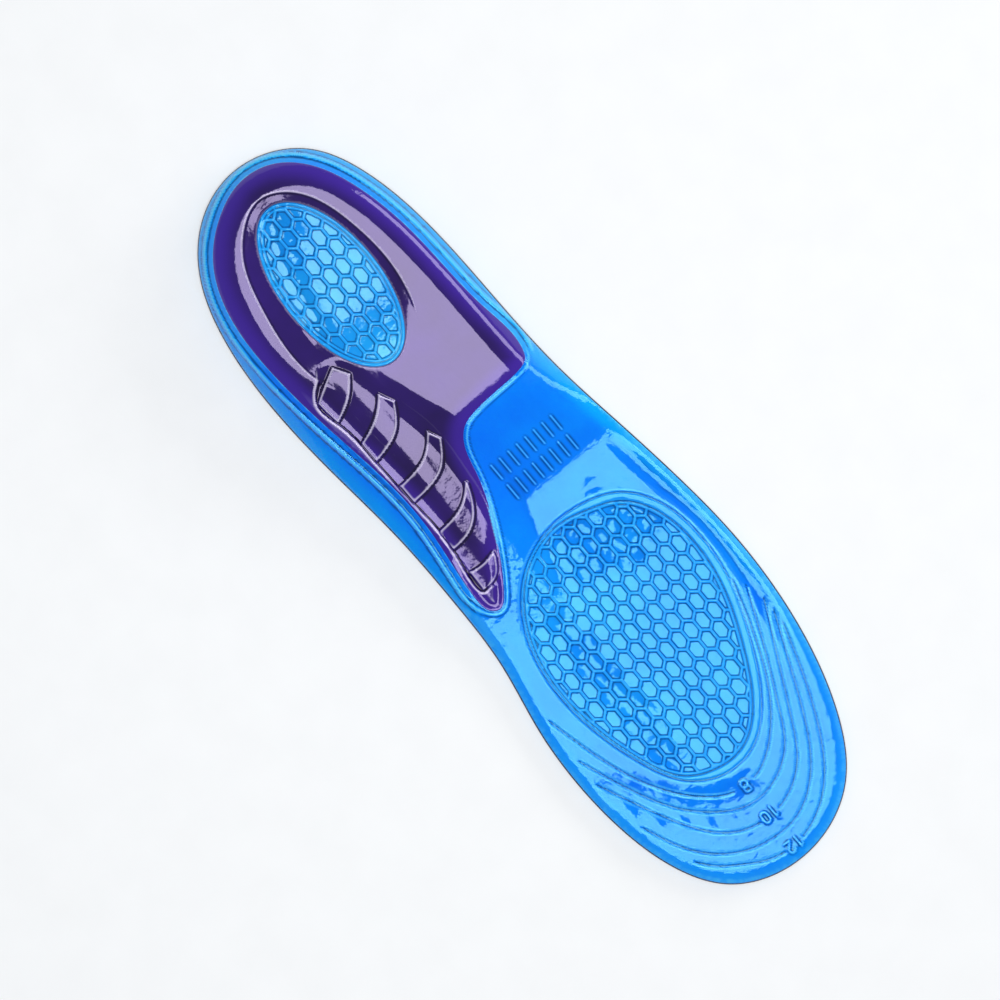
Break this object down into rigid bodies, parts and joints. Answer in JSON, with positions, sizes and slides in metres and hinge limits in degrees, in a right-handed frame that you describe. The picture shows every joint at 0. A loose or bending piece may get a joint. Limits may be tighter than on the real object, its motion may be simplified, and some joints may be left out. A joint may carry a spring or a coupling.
{
  "type": "cushioned insole",
  "caption": "Full-length cushioned gel insole for a right shoe, with a firm heel and arch support, a heel plug, a forefoot pad and a thin cloth top.",
  "frame": {"origin": "centre of the insole's plan, on the plane that the heel cup's rim and the front of the cloth rest on", "axes": "+X from heel to toe, +Y towards the outer side of the foot, +Z the way the moulded underside faces, up as it lies"},
  "size_m": [0.2996, 0.0944, 0.015],
  "materials": {
    "blue_gel": "glossy clear gel",
    "soft_blue_gel": "glossy clear gel",
    "violet_gel": "glossy firm gel",
    "grey_cloth": "fine matt knit"
  },
  "bodies": {
    "root": {"gel_base": "blue_gel", "heel_arch_insert": "violet_gel", "heel_cushion": "soft_blue_gel", "forefoot_cushion": "soft_blue_gel", "top_cloth": "grey_cloth"}
  },
  "joints": []
}
